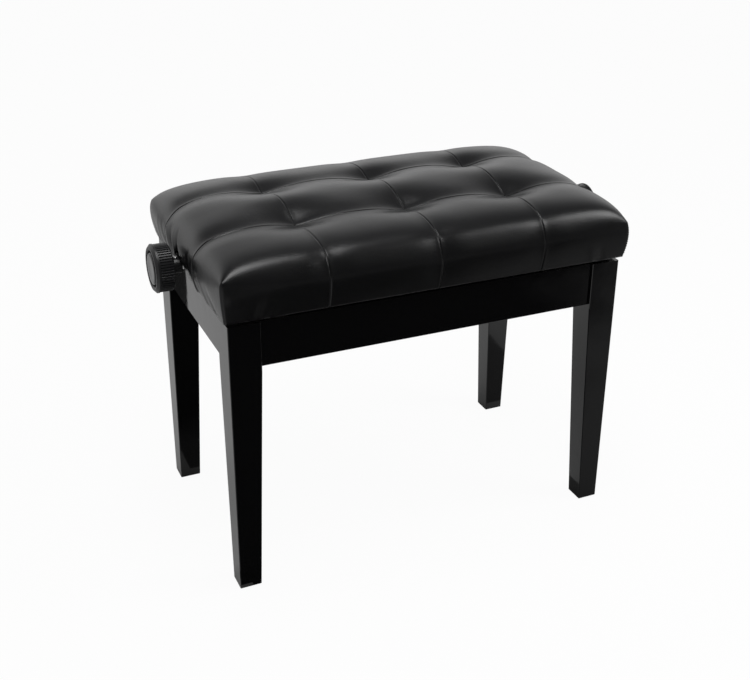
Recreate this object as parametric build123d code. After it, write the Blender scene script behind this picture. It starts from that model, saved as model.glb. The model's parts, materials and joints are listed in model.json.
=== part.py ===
from build123d import *
import os
from math import asin, cos, degrees, radians

# Height-adjustable piano bench, in millimetres.
# +X runs along the seat towards the right-hand knob, +Y towards the back, +Z up.
# The origin lies on the floor under the middle of the bench, and the seat is at its lowest stop.
#
# A lacquered frame of four tapered legs and four aprons carries a steel scissor lift. Turning a
# knob at either end turns one lead screw, which draws the nut bar along and folds the two pairs
# of arms upright, so that the seat rises straight up and stays level.

# ---- driving dimensions -------------------------------------------------------------------
FRAME_LENGTH = 534.0  # over the outer faces of the legs
FRAME_DEPTH = 310.0
LEG_TOP_Z = 369.0
LEG_TOP_WIDTH = 40.0
LEG_FOOT_WIDTH = 28.0
LEG_TAPER_Z = 305.0  # the two inner faces taper below this
LEG_ARRIS = 0.8
FOOT_PAD_HEIGHT = 2.0
FOOT_PAD_INSET = 2.5

APRON_THICKNESS = 18.0
LONG_APRON_BOTTOM_Z = 310.0
END_APRON_BOTTOM_Z = 295.5
LONG_APRON_SETBACK = 4.0  # behind the outer faces of the legs
END_APRON_SETBACK = 12.0

SEAT_TRAVEL = 100.0
ARM_LENGTH = 260.0  # between the end pivots
ARM_WIDTH = 24.0
ARM_THICKNESS = 3.0
PIVOT_X = -128.0  # the two fixed pivots stand above each other here
LOW_PIVOT_Z = 344.5
SCREW_Z = 389.5  # height of the lead screw and of the upper pivots at rest

SEAT_BOARD_Z = 408.0
SEAT_BOARD_THICKNESS = 10.0
SEAT_BOX_LENGTH = 518.0
SEAT_BOX_DEPTH = 302.0
SKIRT_BOTTOM_Z = 375.0
SKIRT_BOARD_THICKNESS = 12.0
FIRM_FOAM_THICKNESS = 10.0
CUSHION_TOP_Z = 464.0  # crown of the middle panels
CUSHION_LONG_SEAM_Z = 456.0  # along the two seams that run lengthwise
CUSHION_CROSS_SEAM_Z = 460.0  # along the three seams that run across
CUSHION_TUFT_Z = 446.0  # where the seams cross
CUSHION_EDGE_Z = 430.0  # where the top panels turn over into the skirt
CUSHION_WIDEST_Z = 408.0

KNOB_FACE_X = 314.0
KNOB_RADIUS = 30.5
KNOB_FLUTES = 54

# ---- fits and stock sizes -----------------------------------------------------------------
RUNNING = 0.05  # radial clearance of a pin or shaft in its hole
SOFT_GAP = 0.3  # between the cushion and what it wraps
SHEET = 2.5  # thickness of the pressed steel rails
PIN_RADIUS = 5.0
SCREW_RADIUS = 6.0
ROLLER_RADIUS = 7.0
SLOT_PLAY = 0.3
DOWEL_RADIUS = 4.0
WOOD_SCREW_RADIUS = 2.0
SCREW_LENGTH, SCREW_HOLE = 11.0, 12.0  # under the head, and the pilot hole

# ---- places worked out from them ----------------------------------------------------------
REST_ANGLE = degrees(asin((SCREW_Z - LOW_PIVOT_Z) / ARM_LENGTH))
TOP_ANGLE = degrees(asin((SCREW_Z - LOW_PIVOT_Z + SEAT_TRAVEL) / ARM_LENGTH))
SLIDE_REST_X = PIVOT_X + ARM_LENGTH * cos(radians(REST_ANGLE))
SLIDE_TOP_X = PIVOT_X + ARM_LENGTH * cos(radians(TOP_ANGLE))
CENTRE_X = (PIVOT_X + SLIDE_REST_X) / 2
CENTRE_Z = (LOW_PIVOT_Z + SCREW_Z) / 2

LEG_X, LEG_Y = FRAME_LENGTH / 2, FRAME_DEPTH / 2
LEG_IN_X, LEG_IN_Y = LEG_X - LEG_TOP_WIDTH, LEG_Y - LEG_TOP_WIDTH
APRON_OUT_Y = LEG_Y - LONG_APRON_SETBACK
APRON_IN_Y = APRON_OUT_Y - APRON_THICKNESS
APRON_OUT_X = LEG_X - END_APRON_SETBACK
APRON_IN_X = APRON_OUT_X - APRON_THICKNESS

# From the rails inwards the layers are rail, outer arm, inner arm, nut bar.
RAIL_OUT_Y = 112.0
RAIL_IN_Y = RAIL_OUT_Y - SHEET
RAIL_FLANGE_Y = 130.0
RAIL_HALF_LENGTH = 178.0
LAYER_GAP = 1.0
OUTER_ARM_Y = RAIL_IN_Y - LAYER_GAP  # outer face of the outer arm
INNER_ARM_Y = OUTER_ARM_Y - ARM_THICKNESS - LAYER_GAP
NUT_BAR_Y = INNER_ARM_Y - ARM_THICKNESS - LAYER_GAP

BEARER_X, BEARER_WIDTH = 155.0, 36.0
BEARER_TOP_Z, BEARER_BOTTOM_Z = 330.0, 312.0
PLATE_X = 200.0  # the bearing plates that carry the lead screw
SEAT_X, SEAT_Y = SEAT_BOX_LENGTH / 2, SEAT_BOX_DEPTH / 2

SIDES = {"front": -1, "rear": 1}
ENDS = {"left": -1, "right": 1}


# ---- helpers ------------------------------------------------------------------------------
def block(x, y, z):
    """A box between two values along each axis."""
    return Pos(sum(x) / 2, sum(y) / 2, sum(z) / 2) * Box(
        abs(x[1] - x[0]), abs(y[1] - y[0]), abs(z[1] - z[0])
    )


def rod(axis, radius, start, end, a, b):
    """A cylinder from start to end along an axis; a and b place it on the other two."""
    middle, length = (start + end) / 2, abs(end - start)
    if axis == "x":
        return Pos(middle, a, b) * Rot(0, 90, 0) * Cylinder(radius, length)
    if axis == "y":
        return Pos(a, middle, b) * Rot(90, 0, 0) * Cylinder(radius, length)
    return Pos(a, b, middle) * Cylinder(radius, length)


def prism_y(outline, y):
    """A sketch drawn in X and Z, made solid between two values of Y."""
    low, high = min(y), max(y)
    plane = Plane(origin=(0, high, 0), x_dir=(1, 0, 0), z_dir=(0, -1, 0))
    return extrude(plane * outline, high - low)


def prism_x(outline, x):
    """A sketch drawn in Y and Z, made solid between two values of X."""
    low, high = min(x), max(x)
    plane = Plane(origin=(low, 0, 0), x_dir=(0, 1, 0), z_dir=(1, 0, 0))
    return extrude(plane * outline, high - low)


def turned(profile, y, z):
    """A solid turned about the line along X through y, z; the profile is (x, radius) pairs."""
    face = Plane(origin=(0, y, z), x_dir=(1, 0, 0), z_dir=(0, -1, 0)) * make_face(
        Polyline(*profile, close=True)
    )
    return revolve(face, Axis((0, y, z), (1, 0, 0)))


def group(solids):
    """Several separate solids in one node."""
    return Compound(children=[s for part in solids for s in part.solids()])


def corners():
    """The four corners as their signs along X and Y, with a name for each."""
    for side, sy in SIDES.items():
        for end, sx in ENDS.items():
            yield f"{side}_{end}", sx, sy


# ---- wooden frame -------------------------------------------------------------------------
def dowel_places():
    """Each dowel as (axis, start, end, a, b), as rod takes them."""
    half = 20.0
    long_y = APRON_OUT_Y - APRON_THICKNESS / 2
    end_x = APRON_OUT_X - APRON_THICKNESS / 2
    for _, sx, sy in corners():
        for z in (325.0, 352.0):
            yield "x", sx * (LEG_IN_X - half), sx * (LEG_IN_X + half), sy * long_y, z
        for z in (315.0, 352.0):
            yield "y", sy * (LEG_IN_Y - half), sy * (LEG_IN_Y + half), sx * end_x, z
        for x in (BEARER_X - 9, BEARER_X + 9):
            z = (BEARER_TOP_Z + BEARER_BOTTOM_Z) / 2
            yield "y", sy * (APRON_IN_Y - half), sy * (APRON_IN_Y + 10), sx * x, z


def dowel_holes():
    return [rod(axis, DOWEL_RADIUS, *place) for axis, *place in dowel_places()]


def dowels():
    return group([rod(a, DOWEL_RADIUS - RUNNING, *place) for a, *place in dowel_places()])


def corner_bolt_axis(sx, sy, near, far):
    """A line out of the leg's inner corner, from near to far along the diagonal."""
    z = 338.0
    step = 0.5**0.5
    return [
        Vector(sx * (LEG_IN_X - d * step), sy * (LEG_IN_Y - d * step), z) for d in (near, far)
    ]


def diagonal_rod(radius, sx, sy, near, far):
    start, end = corner_bolt_axis(sx, sy, near, far)
    plane = Plane(origin=start, z_dir=end - start)
    return extrude(plane * Circle(radius), (end - start).length)


def leg(sx, sy):
    """Square above, tapered on its two inner faces below the aprons, arrises eased."""

    def section(z, width):
        """Eight corners, one pair at each arris; the two outer faces stay upright."""
        out_x, out_y, in_x, in_y = LEG_X, LEG_Y, LEG_X - width, LEG_Y - width
        c = LEG_ARRIS
        ring = [(out_x, out_y - c), (out_x - c, out_y), (in_x + c, out_y), (in_x, out_y - c)]
        ring += [(in_x, in_y + c), (in_x + c, in_y), (out_x - c, in_y), (out_x, in_y + c)]
        return [Vector(sx * x, sy * y, z) for x, y in ring]

    rings = [
        section(FOOT_PAD_HEIGHT, LEG_FOOT_WIDTH),
        section(LEG_TAPER_Z, LEG_TOP_WIDTH),
        section(LEG_TOP_Z, LEG_TOP_WIDTH),
    ]
    outlines = [rings[0], rings[-1]]
    for low, high in zip(rings, rings[1:]):
        outlines += [[low[i - 1], low[i], high[i], high[i - 1]] for i in range(len(low))]
    post = Solid(Shell([Face(Wire.make_polygon(points, close=True)) for points in outlines]))
    holes = dowel_holes() + [diagonal_rod(4.0, sx, sy, -26, 1)]
    return Part() + post - holes


def foot_pads():
    """Moulded glides under the legs, a little smaller than the foot and rounded below."""
    width = LEG_FOOT_WIDTH - 2 * FOOT_PAD_INSET
    pads = []
    for _, sx, sy in corners():
        x, y = sx * (LEG_X - LEG_FOOT_WIDTH / 2), sy * (LEG_Y - LEG_FOOT_WIDTH / 2)
        pad = extrude(Pos(x, y) * RectangleRounded(width, width, 3), FOOT_PAD_HEIGHT)
        pads.append(chamfer(pad.faces().sort_by(Axis.Z)[0].edges(), 0.8))
    return group(pads)


def apron(kind, sign):
    """A rail between two legs, with its lower arrises eased."""
    if kind == "long":
        y = sign * APRON_IN_Y, sign * APRON_OUT_Y
        board = block((-LEG_IN_X, LEG_IN_X), y, (LONG_APRON_BOTTOM_Z, LEG_TOP_Z))
        low_edges = board.faces().sort_by(Axis.Z)[0].edges().filter_by(Axis.X)
    else:
        x = sign * APRON_IN_X, sign * APRON_OUT_X
        board = block(x, (-LEG_IN_Y, LEG_IN_Y), (END_APRON_BOTTOM_Z, LEG_TOP_Z))
        low_edges = board.faces().sort_by(Axis.Z)[0].edges().filter_by(Axis.Y)
    return chamfer(low_edges, 1.0) - dowel_holes()


def corner_block(sx, sy):
    """A glue block notched round the leg, with a face square to its bolt."""
    reach = 57.0
    outline = Polyline(
        (sx * (APRON_IN_X - reach), sy * APRON_IN_Y),
        (sx * LEG_IN_X, sy * APRON_IN_Y),
        (sx * LEG_IN_X, sy * LEG_IN_Y),
        (sx * APRON_IN_X, sy * LEG_IN_Y),
        (sx * APRON_IN_X, sy * (APRON_IN_Y - reach)),
        close=True,
    )
    wedge = extrude(Pos(0, 0, 318) * make_face(outline), 40)
    return wedge - diagonal_rod(4.5, sx, sy, -8, 40)


CORNER_BLOCK_THICKNESS = (LEG_IN_X + LEG_IN_Y - (APRON_IN_X - 57.0) - APRON_IN_Y) * 0.5**0.5


def corner_bolts():
    """Hanger bolts from the legs through the corner blocks."""
    end = CORNER_BLOCK_THICKNESS + 12
    return group([diagonal_rod(4.0 - RUNNING, sx, sy, -25, end) for _, sx, sy in corners()])


def corner_nuts():
    """Hexagon nuts with a wide washer face, tight on the corner blocks."""
    nuts = []
    for _, sx, sy in corners():
        start, end = corner_bolt_axis(sx, sy, CORNER_BLOCK_THICKNESS, 40)
        plane = Plane(origin=start, z_dir=end - start)
        nut = extrude(plane * Circle(10), 1.6) + extrude(plane * RegularPolygon(7.5, 6), 8)
        nuts.append(nut - extrude(plane * Circle(4.0), 8))
    return group(nuts)


def bearer(sx):
    """A batten across the frame, under the lower rails of the lift."""
    x = sx * (BEARER_X - BEARER_WIDTH / 2), sx * (BEARER_X + BEARER_WIDTH / 2)
    board = block(x, (-APRON_IN_Y, APRON_IN_Y), (BEARER_BOTTOM_Z, BEARER_TOP_Z))
    return board - dowel_holes() - [wood_screw_hole(*place) for place in rail_screw_places()]


# ---- fasteners ----------------------------------------------------------------------------
def wood_screw_hole(x, y, head_z, direction):
    """A pilot hole from just outside the head's seat to a little beyond the screw's tip."""
    radius = WOOD_SCREW_RADIUS + RUNNING
    return rod("z", radius, head_z - direction, head_z + direction * SCREW_HOLE, x, y)


def wood_screw(x, y, head_z, direction):
    """A pan-head screw: head_z is where the head sits, direction where the tip points."""
    head = Plane(origin=(x, y, head_z), z_dir=(0, 0, -direction))
    dome = extrude(head * Circle(3.8), 2.2)
    dome = fillet(dome.faces().sort_by(Axis.Z)[0 if direction > 0 else -1].edges(), 1.2)
    return dome + rod("z", WOOD_SCREW_RADIUS, head_z, head_z + direction * SCREW_LENGTH, x, y)


def rail_screw_places():
    """Screws that hold the lower rails down on the bearers."""
    y = (RAIL_OUT_Y + RAIL_FLANGE_Y) / 2
    for _, sx, sy in corners():
        yield sx * BEARER_X, sy * y, BEARER_TOP_Z + SHEET, -1


def seat_screw_places():
    """Screws up into the seat board, through the upper rails and the bearing plates."""
    y = (RAIL_OUT_Y + RAIL_FLANGE_Y) / 2
    z = SEAT_BOARD_Z - SHEET
    for x in (-160.0, 0.0, 160.0):
        for sy in SIDES.values():
            yield x, sy * y, z, 1
    for sx in ENDS.values():
        for sy in SIDES.values():
            yield sx * (PLATE_X + 14), sy * 18.0, z, 1


def skirt_screw_places():
    """Countersunk screws down through the seat board into the skirt boards."""
    inset = SKIRT_BOARD_THICKNESS / 2
    for x in (-190.0, 0.0, 190.0):
        for sy in SIDES.values():
            yield x, sy * (SEAT_Y - inset)
    for sx in ENDS.values():
        for sy in SIDES.values():
            yield sx * (SEAT_X - inset), sy * 90.0


def countersunk(x, y, radius, head_radius, length):
    top = SEAT_BOARD_Z + SEAT_BOARD_THICKNESS
    sink = Pos(x, y, top - 1.5) * Cone(radius, head_radius, 3)
    return rod("z", radius, top - length, top, x, y) + sink & block(
        (x - 6, x + 6), (y - 6, y + 6), (top - length, top)
    )


def skirt_screws():
    places = skirt_screw_places()
    return group([countersunk(x, y, WOOD_SCREW_RADIUS, 4.0, 25) for x, y in places])


def skirt_screw_holes():
    clear = WOOD_SCREW_RADIUS + RUNNING
    return [countersunk(x, y, clear, 4.0 + RUNNING, 26) for x, y in skirt_screw_places()]


# ---- scissor lift -------------------------------------------------------------------------
def slot(z):
    """The long hole in which a roller runs, as far as the lift travels."""
    width = 2 * (ROLLER_RADIUS + SLOT_PLAY)
    run = SLIDE_REST_X - SLIDE_TOP_X + 6.0
    middle = (SLIDE_REST_X + SLIDE_TOP_X) / 2
    return Pos(middle, z) * SlotCenterToCenter(run, width)


def angle_rail(sign, flange_z, edge_z, pivot_z, screws):
    """A pressed angle along X: a flange to screw down, and a web with pivot hole and slot."""
    toward = 1 if edge_z > flange_z else -1
    x = -RAIL_HALF_LENGTH, RAIL_HALF_LENGTH
    web = block(x, (sign * RAIL_IN_Y, sign * RAIL_OUT_Y), (flange_z, edge_z))
    flange = block(
        x, (sign * RAIL_IN_Y, sign * RAIL_FLANGE_Y), (flange_z, flange_z + toward * SHEET)
    )
    rail = web + flange
    far = [v for v in rail.edges().filter_by(Axis.Y) if abs(v.center().Z - edge_z) < 0.01]
    rail = fillet(far, 8.0)
    openings = slot(pivot_z) + Pos(PIVOT_X, pivot_z) * Circle(PIN_RADIUS + RUNNING)
    rail -= prism_y(openings, (sign * (RAIL_IN_Y - 1), sign * (RAIL_OUT_Y + 1)))
    return rail - [wood_screw_hole(*place) for place in screws]


def arm(angle, start_z, outer_y, sign):
    """A flat bar with round ends, from the fixed pivot line at the given slope."""
    bar = SlotCenterToCenter(ARM_LENGTH, ARM_WIDTH)
    for along in (-ARM_LENGTH / 2, 0, ARM_LENGTH / 2):
        bar -= Pos(along, 0) * Circle(PIN_RADIUS + RUNNING)
    placed = Pos(PIVOT_X, start_z) * Rot(0, 0, angle) * Pos(ARM_LENGTH / 2, 0) * bar
    return prism_y(placed, (sign * outer_y, sign * (outer_y - ARM_THICKNESS)))


def headed_pin(half_length, head_radius, head, x, z):
    """A shaft along Y, peened over to a low dome at both ends."""
    pin = rod("y", PIN_RADIUS, -half_length, half_length, x, z)
    for sign in SIDES.values():
        cap = rod("y", head_radius, sign * half_length, sign * (half_length + head), x, z)
        pin += fillet(cap.faces().sort_by(Axis.Y)[0 if sign < 0 else -1].edges(), 0.6 * head)
    return pin


def hinge_tube():
    """The tube that joins the inner arms and turns on the lower pivot shaft."""
    half = INNER_ARM_Y - ARM_THICKNESS
    tube = rod("y", 8.0, -half, half, PIVOT_X, LOW_PIVOT_Z)
    return tube - rod("y", PIN_RADIUS + RUNNING, -half, half, PIVOT_X, LOW_PIVOT_Z)


def rollers(x, z):
    """Nylon rollers in the slots, with a flange against the outer face of each rail."""
    pair = []
    for sign in SIDES.values():
        wheel = rod("y", ROLLER_RADIUS, sign * RAIL_IN_Y, sign * (RAIL_OUT_Y + 0.3), x, z)
        wheel += rod("y", 9.5, sign * (RAIL_OUT_Y + 0.3), sign * (RAIL_OUT_Y + 2), x, z)
        bore = rod("y", PIN_RADIUS + RUNNING, sign * RAIL_IN_Y, sign * (RAIL_OUT_Y + 2), x, z)
        pair.append(wheel - bore)
    return group(pair)


def clips(x, z):
    """Open retaining rings outside the rollers."""
    ring = Circle(8.0) - Circle(PIN_RADIUS) - Pos(0, -6) * Rectangle(6, 8)
    y = RAIL_OUT_Y + 2.2
    return group([prism_y(Pos(x, z) * ring, (s * y, s * (y + 1.2))) for s in SIDES.values()])


def slide_shaft():
    """The cross shaft that joins the outer arms and slides along the lower rails."""
    half = RAIL_OUT_Y + 5
    return chamfer(
        rod("y", PIN_RADIUS, -half, half, SLIDE_REST_X, LOW_PIVOT_Z).edges(), 0.8
    )


def nut_bar():
    """A square bar across the lift, turned down at its ends to fit the inner arms."""
    half = RAIL_OUT_Y + 5
    x, z = SLIDE_REST_X, SCREW_Z
    bar = block((x - 10, x + 10), (-NUT_BAR_Y, NUT_BAR_Y), (z - 13, z + 13))
    bar = chamfer(bar.edges().filter_by(Axis.Y), 1.0)
    bar += rod("y", PIN_RADIUS, -half, half, x, z)
    return bar - rod("x", 9.0 + RUNNING, x - 11, x + 11, 0, z)


def lead_nut():
    """A flanged brass nut pressed through the nut bar."""
    x = SLIDE_REST_X
    profile = [
        (x - 12, SCREW_RADIUS + 0.08),
        (x + 13, SCREW_RADIUS + 0.08),
        (x + 13, 12.5),
        (x + 10, 12.5),
        (x + 10, 9.0),
        (x - 12, 9.0),
    ]
    return turned(profile, 0, SCREW_Z)


def upper_pivot_pins():
    """Headed pins in the upper rails, on which the outer arms turn."""
    pins = []
    for s in SIDES.values():
        inner_face = OUTER_ARM_Y - ARM_THICKNESS - 0.2
        pin = rod("y", PIN_RADIUS, s * inner_face, s * RAIL_OUT_Y, PIVOT_X, SCREW_Z)
        pin += rod("y", 8.0, s * RAIL_OUT_Y, s * (RAIL_OUT_Y + 3), PIVOT_X, SCREW_Z)
        pin += rod("y", 7.0, s * (inner_face - 2), s * inner_face, PIVOT_X, SCREW_Z)
        pins.append(pin)
    return group(pins)


# ---- lead screw and knobs -----------------------------------------------------------------
def bearing_plate(sx):
    """A bent plate under the seat board that carries one end of the lead screw."""
    outline = Pos(0, SEAT_BOARD_Z - 18) * Rectangle(50, 36)
    web = prism_x(outline, (sx * PLATE_X, sx * (PLATE_X + SHEET)))
    low = [e for e in web.edges().filter_by(Axis.X) if e.center().Z < SEAT_BOARD_Z - 30]
    web = fillet(low, 12.0)
    foot = block(
        (sx * PLATE_X, sx * (PLATE_X + 24)), (-25, 25), (SEAT_BOARD_Z - SHEET, SEAT_BOARD_Z)
    )
    bore = rod("x", 8.0 + RUNNING, sx * (PLATE_X - 1), sx * (PLATE_X + 4), 0, SCREW_Z)
    return web + foot - bore - [wood_screw_hole(*place) for place in seat_screw_places()]


def spindle_bushes():
    """Flanged bronze bushes in the bearing plates."""
    x = PLATE_X
    profile = [
        (x - 2, SCREW_RADIUS + RUNNING),
        (x + SHEET + 1, SCREW_RADIUS + RUNNING),
        (x + SHEET + 1, 8.0),
        (x, 8.0),
        (x, 10.5),
        (x - 2, 10.5),
    ]
    return group([turned([(s * u, r) for u, r in profile], 0, SCREW_Z) for s in ENDS.values()])


def thrust_collars():
    """Collars outside the bushes, which keep the lead screw from moving along."""
    x = PLATE_X + SHEET + 1.2
    collars = []
    for s in ENDS.values():
        ring = rod("x", 11.0, s * x, s * (x + 9), 0, SCREW_Z)
        ring = chamfer(ring.edges(), 0.8)
        ring -= rod("x", SCREW_RADIUS + RUNNING, s * x, s * (x + 9), 0, SCREW_Z)
        collars.append(ring - rod("z", 2.0 + RUNNING, SCREW_Z + 6, SCREW_Z + 12, s * (x + 4.5), 0))
    return group(collars)


def collar_screws():
    """Socket set screws, flush in the collars, that lock them on the lead screw."""
    x = PLATE_X + SHEET + 5.7
    pair = []
    for s in ENDS.values():
        socket = extrude(Pos(s * x, 0, SCREW_Z + 8.6) * RegularPolygon(1.15, 6), 3)
        pair.append(rod("z", 2.0, SCREW_Z + 6.1, SCREW_Z + 10.6, s * x, 0) - socket)
    return group(pair)


def lead_screw():
    """One steel screw from knob to knob; its thread is cut between the two bearing plates."""
    end, bevel = KNOB_FACE_X - 9, 1.0
    half = [(0, SCREW_RADIUS), (end - bevel, SCREW_RADIUS), (end, SCREW_RADIUS - bevel)]
    profile = [(-x, r) for x, r in reversed(half[1:])] + half[1:] + [(end, 0), (-end, 0)]
    return turned(profile, 0, SCREW_Z)


def knob(sx):
    """A moulded handwheel: plain hub, fluted grip, smooth bevelled rim and a dished face."""
    face, grip, rim = KNOB_FACE_X, KNOB_FACE_X - 23, KNOB_FACE_X - 5
    hub_end, r = KNOB_FACE_X - 37, KNOB_RADIUS
    profile = [
        (hub_end, 0),
        (hub_end, 9.2),
        (hub_end + 0.8, 10.0),
        (grip - 2, 10.0),
        (grip, 12.0),
        (grip, r - 2.5),
        (grip + 1.5, r - 0.6),
        (rim, r - 0.6),
        (rim, r),
        (face - 3, r),
        (face, r - 3.5),
        (face, r - 6.0),
        (face - 1.5, r - 7.5),
        (face - 3.5, r - 7.5),
        (face - 3.5, 0),
    ]
    wheel = turned([(sx * u, v) for u, v in profile], 0, SCREW_Z)
    groove = make_face(Polyline((r - 1.9, 0), (r + 1, -2.1), (r + 1, 2.1), close=True))
    flutes = Sketch() + [Rot(0, 0, i * 360 / KNOB_FLUTES) * groove for i in range(KNOB_FLUTES)]
    wheel -= prism_x(Pos(0, SCREW_Z) * flutes, (sx * (grip - 1), sx * (rim - 0.8)))
    bore_end = face - 8
    wheel -= rod("x", SCREW_RADIUS + RUNNING, sx * (hub_end - 1), sx * bore_end, 0, SCREW_Z)
    return wheel - rod("z", 2.0 + RUNNING, SCREW_Z, SCREW_Z + 12, sx * (hub_end + 7), 0)


def knob_cap(sx):
    """A domed cap pressed into the dish of the knob."""
    back, r = KNOB_FACE_X - 3.4, KNOB_RADIUS - 7.8
    disc = rod("x", r, sx * back, sx * (back + 2.6), 0, SCREW_Z)
    front = disc.faces().sort_by(Axis.X)[0 if sx < 0 else -1]
    return fillet(front.edges(), 1.6)


def knob_screws():
    """Cross-head screws that clamp the hubs on the lead screw."""
    pair = []
    for sx in ENDS.values():
        x = sx * (KNOB_FACE_X - 30)
        head = rod("z", 3.6, SCREW_Z + 10.1, SCREW_Z + 12.6, x, 0)
        head = fillet(head.faces().sort_by(Axis.Z)[-1].edges(), 1.0)
        cross = block((x - 2.2, x + 2.2), (-0.5, 0.5), (SCREW_Z + 11.6, SCREW_Z + 13))
        cross += block((x - 0.5, x + 0.5), (-2.2, 2.2), (SCREW_Z + 11.6, SCREW_Z + 13))
        pair.append(head - cross + rod("z", 2.0, SCREW_Z + 6.2, SCREW_Z + 10.1, x, 0))
    return group(pair)


# ---- seat ---------------------------------------------------------------------------------
def shaft_notch(x):
    """The arched notch in each end of the seat, open below, through which the shaft comes."""
    radius = 15.0
    arch = Pos(0, SCREW_Z) * Circle(radius)
    arch += Pos(0, (SCREW_Z + SKIRT_BOTTOM_Z) / 2 - 5) * Rectangle(
        2 * radius, SCREW_Z - SKIRT_BOTTOM_Z + 10
    )
    return prism_x(arch, x)


def seat_board():
    z = SEAT_BOARD_Z, SEAT_BOARD_Z + SEAT_BOARD_THICKNESS
    board = block((-SEAT_X, SEAT_X), (-SEAT_Y, SEAT_Y), z)
    holes = [wood_screw_hole(*place) for place in seat_screw_places()]
    return board - holes - skirt_screw_holes()


def skirt_board(kind, sign):
    """One side of the box under the seat board, which the leather is drawn over."""
    z = SKIRT_BOTTOM_Z + 2, SEAT_BOARD_Z
    inner_x, inner_y = SEAT_X - SKIRT_BOARD_THICKNESS, SEAT_Y - SKIRT_BOARD_THICKNESS
    if kind == "long":
        board = block((-SEAT_X, SEAT_X), (sign * inner_y, sign * SEAT_Y), z)
    else:
        x = sign * inner_x, sign * SEAT_X
        board = block(x, (-inner_y, inner_y), z) - shaft_notch(
            (sign * (inner_x - 1), sign * (SEAT_X + 1))
        )
    return board - skirt_screw_holes()


def firm_foam():
    """The firm layer glued on the seat board, under the soft top."""
    low = SEAT_BOARD_Z + SEAT_BOARD_THICKNESS
    return block((-SEAT_X, SEAT_X), (-SEAT_Y, SEAT_Y), (low, low + FIRM_FOAM_THICKNESS))


CUSHION_COLUMN, CUSHION_ROW = 144.0, 122.0  # spacing of the seams along X and Y


def cushion_outline(bottom, bulge, edge, seams, seam_z):
    """Half sizes at the hem, at the widest and at the top edge; the top bulges between seams."""
    lines = [Line((-bottom, SKIRT_BOTTOM_Z), (bottom, SKIRT_BOTTOM_Z))]
    for sign in (-1, 1):
        hem, wide, top = (sign * u for u in (bottom, bulge, edge))
        lines.append(
            ThreePointArc((hem, SKIRT_BOTTOM_Z), (wide, CUSHION_WIDEST_Z), (top, CUSHION_EDGE_Z))
        )
    creases = [(-edge, CUSHION_EDGE_Z), *[(u, seam_z) for u in seams]]
    creases.append((edge, CUSHION_EDGE_Z))
    for (u, z), (v, w) in zip(creases, creases[1:]):
        crown = CUSHION_TOP_Z if z == w else CUSHION_TOP_Z - 1.5
        lines.append(ThreePointArc((u, z), ((u + v) / 2, crown), (v, w)))
    return make_face(Curve() + lines)


def cushion_plan(corner, middle, round_off):
    """A rectangle whose four sides bow out from its corners to their middles."""
    (cx, cy), (mx, my) = corner, middle
    ring = [(cx, cy), (-cx, cy), (-cx, -cy), (cx, -cy)]
    bows = [(0, my), (-mx, 0), (0, -my), (mx, 0)]
    sides = [ThreePointArc(ring[i], bows[i], ring[(i + 1) % 4]) for i in range(4)]
    face = make_face(Curve() + sides)
    return extrude(fillet(face.vertices(), round_off), 2 * CUSHION_TOP_Z)


def seat_cushion():
    """Soft foam and its leather cover, tufted on a grid and drawn down over the seat box."""
    seam_xs = [column * CUSHION_COLUMN for column in (-1, 0, 1)]
    seam_ys = [row * CUSHION_ROW / 2 for row in (-1, 1)]
    corner, middle = (275.0, 164.0), (284.5, 170.0)
    hem_x, hem_y = corner[0] - 4, corner[1] - 2
    along = cushion_outline(hem_x, middle[0], corner[0], seam_xs, CUSHION_CROSS_SEAM_Z)
    across = cushion_outline(hem_y, middle[1], corner[1], seam_ys, CUSHION_LONG_SEAM_Z)
    pillow = prism_y(along, (-middle[1], middle[1])) & prism_x(across, (-middle[0], middle[0]))
    pillow &= cushion_plan(corner, middle, 5.0)
    tuft_radius = 40.0
    pillow -= [
        Pos(x, y, CUSHION_TUFT_Z + tuft_radius) * Sphere(tuft_radius)
        for x in seam_xs
        for y in seam_ys
    ]
    x, y = SEAT_X + SOFT_GAP, SEAT_Y + SOFT_GAP
    top = SEAT_BOARD_Z + SEAT_BOARD_THICKNESS + FIRM_FOAM_THICKNESS + SOFT_GAP
    pillow -= block((-x, x), (-y, y), (SKIRT_BOTTOM_Z - 1, top))
    for sx in ENDS.values():
        pillow -= shaft_notch((sx * (SEAT_X - 5), sx * (SEAT_X + 40)))
    return pillow


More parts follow.
